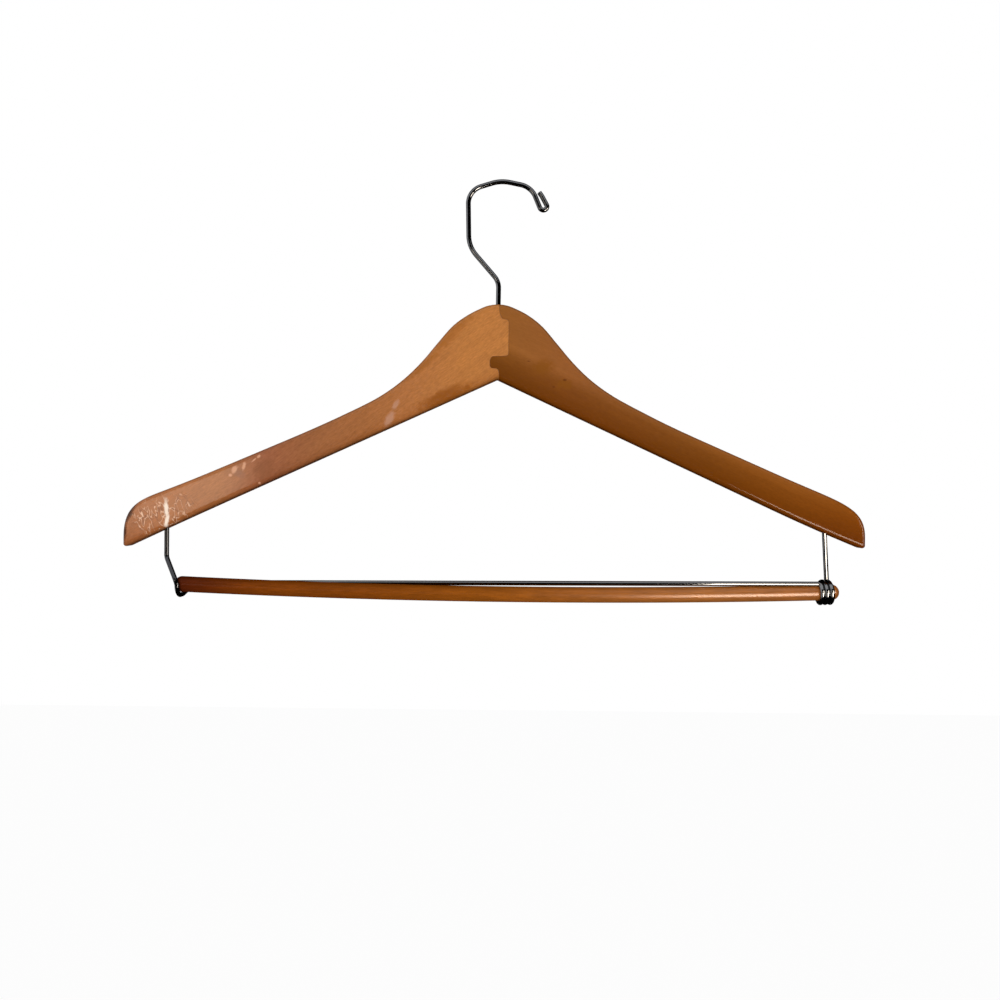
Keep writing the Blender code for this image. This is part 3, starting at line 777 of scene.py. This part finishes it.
def add(tree, kind, settings=None, **links):
    """Adds a node. Settings name its properties, or the stops of a ramp; links name its inputs, or number
    them as i0, i1, and give each one a value or another node's output."""
    node = tree.nodes.new(kind)
    settings = dict(settings or {})
    for number, (place, colour) in enumerate(settings.pop("stops", [])):
        elements = node.color_ramp.elements
        if number == 0:
            elements.remove(elements[1])
        element = elements.new(place) if number else elements[0]
        element.color = linear(colour)
    for key, value in settings.items():
        setattr(node, key, value)
    for key, value in links.items():
        numbered = key[0] == "i" and key[1:].isdigit()
        socket = node.inputs[int(key[1:]) if numbered else key.replace("_", " ")]
        if isinstance(value, bpy.types.NodeSocket):
            tree.links.new(value, socket)
        else:
            socket.default_value = value
    return node


def new_material(name, **values):
    """A material with one Principled shader and its plain values set on its own sockets."""
    made = bpy.data.materials.new(name)
    made.use_nodes = True
    shader = made.node_tree.nodes["Principled BSDF"]
    for key, value in values.items():
        shader.inputs[key.replace("_", " ")].default_value = value
    return made, made.node_tree, shader


print("middle grey, #808080, is", round(linear("#808080")[0], 3), "in linear light")

# %% [markdown]
# Wood is noise pulled out long in the direction of the grain. Single marks, such as a scratch or a darker
# patch, are spots with a place and a size of their own. Both read Object coordinates, so they stay where
# they are on the board when the hanger is turned.

# %% Patterns in the wood
def grain(tree, angle, length, width, detail=3.0, roughness=.5, distortion=0.0):
    """Noise stretched along the grain: features of the given length by width, in metres, 0 to 1."""
    where = add(tree, "ShaderNodeTexCoord").outputs["Object"]
    turned = add(tree, "ShaderNodeMapping", i0=where, Rotation=(0, angle, 0)).outputs[0]
    scaled = add(tree, "ShaderNodeVectorMath", {"operation": "MULTIPLY"}, i0=turned,
                 i1=(1 / length, 1 / width, 1 / width)).outputs[0]
    return add(tree, "ShaderNodeTexNoise", i0=scaled, Scale=1.0, Detail=detail, Roughness=roughness,
               Distortion=distortion).outputs[0]


def spots(tree, marks, depth=3 * mm):
    """The highest of several spots: each is a smooth step from 1 down to 0 of the length of (point - place) /
    size, with a little noise on it for a ragged rim. A mark is x, z, half width, half height and turn, in mm
    and degrees."""
    where = add(tree, "ShaderNodeTexCoord").outputs["Object"]
    ragged = grain(tree, 0, 2.5 * mm, 2.5 * mm, 2)
    highest = 0.0
    for x, z, wide, high, turn in marks:
        inside = add(tree, "ShaderNodeMapping", {"vector_type": "TEXTURE"}, i0=where,
                     Location=(x * mm, -board_half, z * mm), Rotation=(0, math.radians(turn), 0),
                     Scale=(wide * mm, depth, high * mm)).outputs[0]
        far = add(tree, "ShaderNodeVectorMath", {"operation": "LENGTH"}, i0=inside).outputs["Value"]
        far = add(tree, "ShaderNodeMath", {"operation": "MULTIPLY_ADD"}, i0=ragged, i1=.9, i2=far).outputs[0]
        mark = add(tree, "ShaderNodeMapRange", {"interpolation_type": "SMOOTHSTEP"}, Value=far,
                   From_Min=.8, From_Max=1.5, To_Min=1.0, To_Max=0.0).outputs[0]
        highest = add(tree, "ShaderNodeMath", {"operation": "MAXIMUM"}, i0=mark, i1=highest).outputs[0]
    return highest


def varied(tree, colour, pattern, low, high):
    """The colour times a shade that goes from low to high while the pattern goes from .3 to .7."""
    shade = add(tree, "ShaderNodeMapRange", Value=pattern, From_Min=.3, From_Max=.7, To_Min=low,
                To_Max=high).outputs[0]
    return add(tree, "ShaderNodeMix", {"data_type": "RGBA", "blend_type": "MULTIPLY"}, i0=1.0, i6=colour,
               i7=shade).outputs[2]


def painted(tree, colour, mask, over, strength):
    """The colour with another one over it where the mask is 1, as strongly as it says."""
    factor = add(tree, "ShaderNodeMath", {"operation": "MULTIPLY"}, i0=mask, i1=strength).outputs[0]
    return add(tree, "ShaderNodeMix", {"data_type": "RGBA"}, i0=factor, i6=colour, i7=linear(over)).outputs[2]


def patched(tree, colour, table):
    """The colour with spots painted over it; each row of the table is marks, a colour and a strength."""
    for marks, over, strength in table:
        colour = painted(tree, colour, spots(tree, marks), over, strength)
    return colour


print("marks lie on the front face, at", -board_half, "m")

# %% [markdown]
# Both boards are beech under a clear gloss lacquer. It shows an even warm colour with short fine flecks
# along the grain and softly darker clouds. The lacquer is the coat of the shader, so the wood below needs
# no gloss of its own. The grain runs along each arm, so the pattern is turned to the arm's slope. Beech
# flecks are 1 to 4 mm long.

# %% Lacquered beech
ramp_depth = 24 * mm
left_grain_turn = 1.5


def board_wood(name, angle, along, across, fleck, cloud):
    """Beech whose colour is a ramp along X times a ramp over the ramp_depth above the arm's straight lower
    edge, times clouds of 50 by 14 mm, streaks of 18 by 1.8 mm and flecks of 3 by 0.7 mm. The height above the
    edge is z cos(angle) - x sin(angle)."""
    made, tree, shader = new_material(name, Roughness=.45, IOR=1.5, Specular_IOR_Level=0.0, Coat_Weight=.6,
                                      Coat_Roughness=.11, Coat_IOR=1.5)
    where = add(tree, "ShaderNodeTexCoord").outputs["Object"]
    x = add(tree, "ShaderNodeSeparateXYZ", i0=where).outputs[0]
    share = add(tree, "ShaderNodeMapRange", Value=x, From_Min=-left_reach, From_Max=right_reach).outputs[0]
    colour = add(tree, "ShaderNodeValToRGB", {"stops": along}, i0=share).outputs[0]
    turned = add(tree, "ShaderNodeMapping", i0=where, Rotation=(0, angle, 0)).outputs[0]
    above = add(tree, "ShaderNodeSeparateXYZ", i0=turned).outputs[2]
    edge = apex * math.cos(angle)
    share = add(tree, "ShaderNodeMapRange", Value=above, From_Min=edge, From_Max=edge + ramp_depth).outputs[0]
    shade = add(tree, "ShaderNodeValToRGB", {"stops": across}, i0=share).outputs[0]
    colour = add(tree, "ShaderNodeMix", {"data_type": "RGBA", "blend_type": "MULTIPLY"}, i0=1.0, i6=colour,
                 i7=shade).outputs[2]
    grain_angle = angle * (left_grain_turn if angle > 0 else 1)
    for pattern, spread in ((grain(tree, angle, 50 * mm, 14 * mm, 2), cloud),
                            (grain(tree, grain_angle, 18 * mm, 1.8 * mm, 3), fleck / 2),
                            (grain(tree, grain_angle, 3 * mm, .7 * mm, 2, .6), fleck)):
        colour = varied(tree, colour, pattern, 1 - spread, 1 + spread)
    relief = add(tree, "ShaderNodeBump", Strength=.10, Distance=.2 * mm,
                 Height=grain(tree, angle, 4 * mm, .5 * mm, 3)).outputs[0]
    tree.links.new(relief, shader.inputs["Normal"])
    return made, tree, shader, colour


light_wood, tree, shader, colour = board_wood("lacquered_beech_light", slope_angle, [
    (0, "#A2623A"), (.06, "#AA693D"), (.13, "#A8693C"), (.19, "#96593A"), (.26, "#9A6039"),
    (.32, "#A26538"), (.38, "#AF6E3C"), (.46, "#B6743A"), (.52, "#B6743A")],
    [(0, "#E4DCD0"), (.16, "#FBF8F4"), (.3, "#FFFFFF")], fleck=.15, cloud=.06)
colour = patched(tree, colour, [
    ([(-30, -127.5, 24, 6.0, -24.7)], "#8C4C14", .8),
    ([(-30, -93, 22, 4.5, -42), (-46, -110, 20, 4, -38)], "#9A5A20", .6),
    ([(-105, -139, 44, 2.6, -24.7), (-150, -159.5, 40, 2.4, -24.2)], "#7E4A24", .6)])
print("light board has", len(tree.nodes), "nodes so far")

# %% [markdown]
# Near its tip the left arm's lacquer has wrinkled in the damp: thin raised lines, one long raised streak, and
# a few scuffs further in. Thin lines come from a noise where it passes its middle value. They are raised in
# the relief of the coat, so that they catch the gloss. In the colour each raised line gets a painted
# highlight, with a painted shade line beside it, and the streak's near-white colour is a painted highlight
# too.

# %% Wrinkles, streak and scuffs on the left arm
wrinkled = spots(tree, [(-196, -199, 17, 12, 0), (-208, -203, 9, 11, 0), (-186, -192, 9, 7, 0)])
noise = grain(tree, math.radians(-70), 6 * mm, 2.6 * mm, 1, distortion=.5)
lines = []
for middle in (.50, .565):
    line = add(tree, "ShaderNodeMath", {"operation": "SUBTRACT"}, i0=noise, i1=middle).outputs[0]
    line = add(tree, "ShaderNodeMath", {"operation": "ABSOLUTE"}, i0=line).outputs[0]
    line = add(tree, "ShaderNodeMapRange", Value=line, From_Min=.005, From_Max=.04, To_Min=1.0,
               To_Max=0.0).outputs[0]
    lines.append(add(tree, "ShaderNodeMath", {"operation": "MULTIPLY"}, i0=line, i1=wrinkled).outputs[0])
# The pale ridge lines are painted highlights; the dark lines beside them are painted shade.
ridge_with_highlight, shadow = lines
# A long raised streak in the lacquer; its near-white colour is a painted highlight.
streak_with_highlight = spots(tree, [(-195.3, -195.5, 1.6, 8.2, -3), (-195.0, -203, 1.5, 5.5, 12)])
scuff = spots(tree, [(-155, -172, 2.2, 3.0, 30), (-149.5, -170, 1.3, 3.4, 10),
                     (-140.8, -164.2, 1.6, 1.0, -40), (-143.5, -166.3, 2.4, .7, -40),
                     (-140.2, -180.0, .9, .9, 0), (-157.5, -175.5, 1.5, 1.3, 0)])
# The dark brown at the very tip is partly stain and partly a painted dark reflection on the rounded end.
tip_stain_and_dark_reflection = spots(tree, [(-217.5, -197, 3.6, 14, 27), (-221, -210, 2.6, 9, 4)], depth=12 * mm)
colour = painted(tree, colour, tip_stain_and_dark_reflection, "#2E1408", .85)
colour = patched(tree, colour, [
    ([(-137, -172, 9, 7, -60)], "#85502F", .5),
    ([(-152.5, -174, 4.5, 3.5, 25)], "#8C5C44", .6),
    ([(-63.5, -141, 3.0, 6.5, 30), (-60, -133, 2, 5, 25)], "#C79A82", .5)])
# Painted in turn: shade beside the wrinkles, highlights on the ridges, the pale scuffs, and a highlight on
# the streak.
for mask, over, strength in ((shadow, "#6E3A28", .55), (ridge_with_highlight, "#F0C6A6", .85), (scuff, "#D79C78", .8),
                             (streak_with_highlight, "#FBE6D2", .95)):
    colour = painted(tree, colour, mask, over, strength)
tree.links.new(colour, shader.inputs["Base Color"])
height = add(tree, "ShaderNodeMath", {"operation": "ADD"}, i0=ridge_with_highlight, i1=streak_with_highlight).outputs[0]
bumped = add(tree, "ShaderNodeBump", Strength=.6, Distance=.3 * mm, Height=height).outputs[0]
tree.links.new(bumped, shader.inputs["Coat Normal"])
print("light board:", len(tree.nodes), "nodes")

# %% [markdown]
# The right board is the same wood in a browner tone. It is darker towards its lower edge, has a thinner
# coat and a few dark specks.

# %% The brown board
brown_wood, tree, shader, colour = board_wood("lacquered_beech_brown", -slope_angle, [
    (0, "#915926"), (.5, "#915926"), (.6, "#95592A"), (.75, "#985C28"), (.9, "#9A5A22"), (1, "#955012")],
    [(0, "#B89E52"), (.22, "#C4B170"), (.55, "#DBCFA8"), (.85, "#FFFFFF")], fleck=.08, cloud=.06)
colour = patched(tree, colour, [
    ([(27, -109.5, 9, 5.5, 0), (39.5, -120, 7, 4, 10)], "#824A10", .7),
    ([(18.5, -106.4, 1.5, .6, 10), (40.1, -117.2, 1.4, .8, 0), (33.4, -121.4, 1.1, .7, 0)], "#5A2E10", .7)])
shader.inputs["Coat Weight"].default_value = .3
tree.links.new(colour, shader.inputs["Base Color"])
print("brown board:", len(tree.nodes), "nodes")

# %% [markdown]
# The bar is a ramin dowel, stained and lacquered. Its colour runs from dark red at the left end to gold
# towards the right, where the lacquer is fuller. Its grain shows as fine short dark streaks along the bar.

# %% Stained dowel
dowel, tree, shader = new_material("stained_ramin_dowel", Roughness=.4, IOR=1.5, Specular_IOR_Level=0.0,
                                   Coat_Roughness=.28, Coat_IOR=1.5)
where = add(tree, "ShaderNodeTexCoord").outputs["Object"]
x = add(tree, "ShaderNodeSeparateXYZ", i0=where).outputs[0]
share = add(tree, "ShaderNodeMapRange", Value=x, From_Min=-bar_left, From_Max=bar_right).outputs[0]
colour = add(tree, "ShaderNodeValToRGB", {"stops": [
    (0, "#4E1A06"), (.05, "#5E2506"), (.14, "#7A3B07"), (.28, "#7E3F09"), (.45, "#8E4C0F"),
    (.62, "#9C581C"), (.8, "#A66226"), (1, "#9E5A22")]}, i0=share).outputs[0]
colour = varied(tree, colour, grain(tree, 0, 20 * mm, 4 * mm, 2), .88, 1.12)
colour = varied(tree, colour, grain(tree, 0, 7 * mm, .6 * mm, 3, .6), .82, 1.16)
tree.links.new(colour, shader.inputs["Base Color"])
polish = add(tree, "ShaderNodeMapRange", Value=share, From_Min=.5, From_Max=.75, To_Min=.12,
             To_Max=1.0).outputs[0]
tree.links.new(polish, shader.inputs["Coat Weight"])
relief = add(tree, "ShaderNodeBump", Strength=.15, Distance=.2 * mm,
             Height=grain(tree, 0, 6 * mm, .5 * mm, 3)).outputs[0]
tree.links.new(relief, shader.inputs["Normal"])
print("dowel:", len(tree.nodes), "nodes")

# %% [markdown]
# The wires are drawn steel with a dark bright plating, such as black nickel: the middle of a wire shows
# the dark side of the room, and its edges and bends catch the light. The plating is a little uneven, so
# its gloss varies.

# %% Plated wire, bush steel and glue
def plated_wire(name, colour):
    """Metal of one colour, whose roughness wanders a little with a noise of 6 mm."""
    made, tree, shader = new_material(name, Metallic=1.0, Base_Color=linear(colour))
    noise = grain(tree, 0, 6 * mm, 6 * mm, 1)
    rough = add(tree, "ShaderNodeMapRange", Value=noise, From_Min=.3, From_Max=.7, To_Min=.07,
                To_Max=.13).outputs[0]
    tree.links.new(rough, shader.inputs["Roughness"])
    return made


hook_metal = plated_wire("black_nickel_wire", "#747578")
spring_metal = plated_wire("black_nickel_spring_wire", "#7A7B7D")
# The catch is the same spring wire as the lock spring; its darker colour is painted shade, for the darker
# look it has in this light.
shaded_catch_metal = plated_wire("black_nickel_catch_wire", "#47484B")
bush_metal, _, _ = new_material("turned_steel", Metallic=1.0, Roughness=.3, Base_Color=linear("#8C8A86"))
glue_brown, _, _ = new_material("dried_glue", Roughness=.5, Base_Color=linear("#6A3E1E"))
print("wires:", hook_metal.name, spring_metal.name, shaded_catch_metal.name)

# %% [markdown]
# Each row names a piece, its finish, its slot, the body that it moves with and the solids that it stands for.
# The piece gets its finish and its body, and those solids are hidden; the slot is not used. The spring is
# left on no body, and its placing is baked into its points.

# %% Finish, body and hidden solids of each piece
for piece, finish, slot, body, nodes in (
        (arms["left_board"], light_wood, "light_wood", "arms", ["left_arm"]),
        (arms["right_board"], brown_wood, "dark_wood", "arms", ["right_arm"]),
        (glue, glue_brown, "dark_wood", "arms", []),
        (hook, hook_metal, "hook_wire", "hook", ["hook"]),
        (bush, bush_metal, "insert_steel", "arms", ["hook_insert"]),
        (catch, shaded_catch_metal, "spring_wire", "arms", ["catch_wire"]),
        (bar, dowel, "bar_wood", "bar", ["trouser_bar"]),
        (spring, spring_metal, "spring_wire", None, ["lock_wire", "pressure_wire"])):
    piece.data.materials.clear()
    piece.data.materials.append(finish)
    if body:
        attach(piece, body)
    if nodes:
        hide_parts(*nodes)
    print(piece.name, "is", finish.name)
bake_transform(spring)

# %% [markdown]
# The camera stands where the photograph was taken: level, just right of the middle, 600 mm away. Its lens
# is worked out from how many picture points one millimetre of the hanger takes.

# %% Camera
picture_size = 1000
points_per_mm, distance = 1.67212, 600 * mm
sensor_width = 36.0
yaw, pitch, roll = (math.radians(v) for v in (.28415, -.27097, .56967))
target = np.array([2.3965, 0.0, -188.6001]) * mm
right = np.array([math.cos(yaw), math.sin(yaw), 0.0])
ahead = np.array([-math.sin(yaw), math.cos(yaw), 0.0])
up = np.array([0.0, 0.0, 1.0])
ahead, up = math.cos(pitch) * ahead + math.sin(pitch) * up, -math.sin(pitch) * ahead + math.cos(pitch) * up
right, up = math.cos(roll) * right + math.sin(roll) * up, -math.sin(roll) * right + math.cos(roll) * up


def standing(side, up, back, place):
    """A matrix whose columns are an object's X, Y and Z axes and its place."""
    matrix = np.eye(4)
    matrix[:3] = np.column_stack([side, up, back, place])
    return Matrix(matrix.tolist())


lens = bpy.data.cameras.new("camera")
lens.sensor_width = sensor_width
lens.lens = sensor_width * points_per_mm * distance / mm / picture_size
camera = bpy.data.objects.new("camera", lens)
bpy.context.scene.collection.objects.link(camera)
place = target - ahead * distance
camera.matrix_world = standing(right, up, -ahead, place)
bpy.context.scene.camera = camera
print("camera at", place.round(4), "lens", round(lens.lens, 2), "mm")

# %% [markdown]
# One large soft lamp in front and a weaker one behind light the wood evenly. Three small warm panels are
# seen by gloss alone: each draws a highlight along the lacquer or the bar, as a window would.

# %% Lights
def panel(name, place, aim, size, power, colour="#FFFFFF"):
    """A rectangular soft light that looks at a point."""
    light = bpy.data.lights.new(name, "AREA")
    light.shape = "RECTANGLE"
    light.size, light.size_y = size
    light.energy = power
    light.color = linear(colour)[:3]
    lamp = bpy.data.objects.new(name, light)
    bpy.context.scene.collection.objects.link(lamp)
    back = unit(np.asarray(place, float) - np.asarray(aim, float))
    side = unit(np.cross((0.0, 0.0, 1.0), back))
    lamp.matrix_world = standing(side, np.cross(back, side), back, place)
    return lamp


panel("key_light", (-.15, -1.75, -.08), (0, 0, -.17), (1.3, .9), 26)
panel("back_light", (.3, 1.7, .5), (0, 0, -.17), (1.2, .8), 9)
for name, lamp_place, aim, size, power in (
        ("right_low_reflector", (.295, -.41, -.385), (.295, 0, -.33), (.21, .25), 3.2),
        ("right_reflector", (.62, -.42, -.19), (.20, 0, -.20), (.20, .26), 2.4),
        ("left_reflector", (-.66, -1.2, -.15), (-.30, 0, -.17), (.40, .20), .95)):
    reflector = panel(name, lamp_place, aim, size, power, "#FFF1DC")
    reflector.visible_diffuse = False
for lamp in bpy.data.objects:
    if lamp.type == "LIGHT":
        lamp.visible_camera = False
        lamp.visible_glossy = "reflector" in lamp.name
        print(lamp.name, round(lamp.data.energy, 2), "W")

# %% [markdown]
# The room and the floor are white to the camera and in gloss, but give off little light of their own, so
# that the object keeps its colours.

# %% World and floor
room_light = .22
floor_white = .97


def seen_plainly(tree):
    """1 for a ray from the camera, off gloss or through glass, else 0."""
    ray = add(tree, "ShaderNodeLightPath").outputs
    seen = add(tree, "ShaderNodeMath", {"operation": "ADD"}, i0=ray["Is Camera Ray"],
               i1=ray["Is Glossy Ray"]).outputs[0]
    return add(tree, "ShaderNodeMath", {"operation": "ADD", "use_clamp": True}, i0=seen,
               i1=ray["Is Transmission Ray"]).outputs[0]


world = bpy.data.worlds.new("white_room")
bpy.context.scene.world = world
world.use_nodes = True
tree = world.node_tree
tree.nodes.clear()
strength = add(tree, "ShaderNodeMapRange", Value=seen_plainly(tree), To_Min=room_light, To_Max=1.0).outputs[0]
air = add(tree, "ShaderNodeBackground", Color=(1, 1, 1, 1), Strength=strength)
add(tree, "ShaderNodeOutputWorld", i0=air.outputs[0])


def card(name, corners, faces, paint):
    """A flat or folded card of the studio."""
    mesh = bpy.data.meshes.new(name)
    mesh.from_pydata(corners, [], faces)
    mesh.materials.append(paint)
    piece = bpy.data.objects.new(name, mesh)
    bpy.context.scene.collection.objects.link(piece)
    return piece


floor_paint, tree, shader = new_material("white_floor_paint", Roughness=.8, Base_Color=(.86, .86, .86, 1))
share = add(tree, "ShaderNodeMath", {"operation": "MULTIPLY"}, i0=seen_plainly(tree),
            i1=floor_white).outputs[0]
glow = add(tree, "ShaderNodeEmission", Color=(1, 1, 1, 1), Strength=1.0).outputs[0]
blend = add(tree, "ShaderNodeMixShader", i0=share, i1=shader.outputs[0], i2=glow).outputs[0]
tree.links.new(blend, tree.nodes["Material Output"].inputs[0])
floor_half, floor_z = 6, -1.6
floor_corners = [(x * floor_half, y * floor_half, floor_z) for x, y in ((-1, -1), (1, -1), (1, 1), (-1, 1))]
card("floor", floor_corners, [(0, 1, 2, 3)], floor_paint)
print("floor at", floor_z, "m")

# %% [markdown]
# A photographer keeps gloss deep by standing dark cards round the object, with gaps where a pale edge is
# wanted. Here they make a dark room that only reflections see: open in front above the camera and at the
# front left.

# %% Dark room
card_paint, _, _ = new_material("black_card", Roughness=1.0, Base_Color=(.008, .008, .008, 1),
                                Specular_IOR_Level=0.0)
side, near, far, low, lip, high = 1.9, -1.9, 1.9, -1.55, .95, 1.7
shoulder, opening, sill = .5, -.75, -.12
dark_room = card("dark_room", [
    (-side, near, low), (side, near, low), (side, near, lip), (-side, near, lip),
    (side, far, low), (side, far, high), (side, near, high),
    (-side, far, low), (-side, far, high), (-side, shoulder, low), (-side, shoulder, high),
    (side, -shoulder, high), (-side, -shoulder, high),
    (-side, opening, low), (-side, opening, sill), (-side, near, sill)],
    [(0, 1, 2, 3), (1, 4, 5, 6), (4, 7, 8, 5), (7, 9, 10, 8), (0, 7, 4, 1), (12, 11, 5, 8), (0, 13, 14, 15)],
    card_paint)
dark_room.visible_camera = dark_room.visible_diffuse = dark_room.visible_shadow = False
print("dark room:", len(dark_room.data.polygons), "cards")

# %% [markdown]
# Colours are shown as they are, with no film curve.

# %% Colour handling
bpy.context.scene.view_settings.view_transform = "Standard"
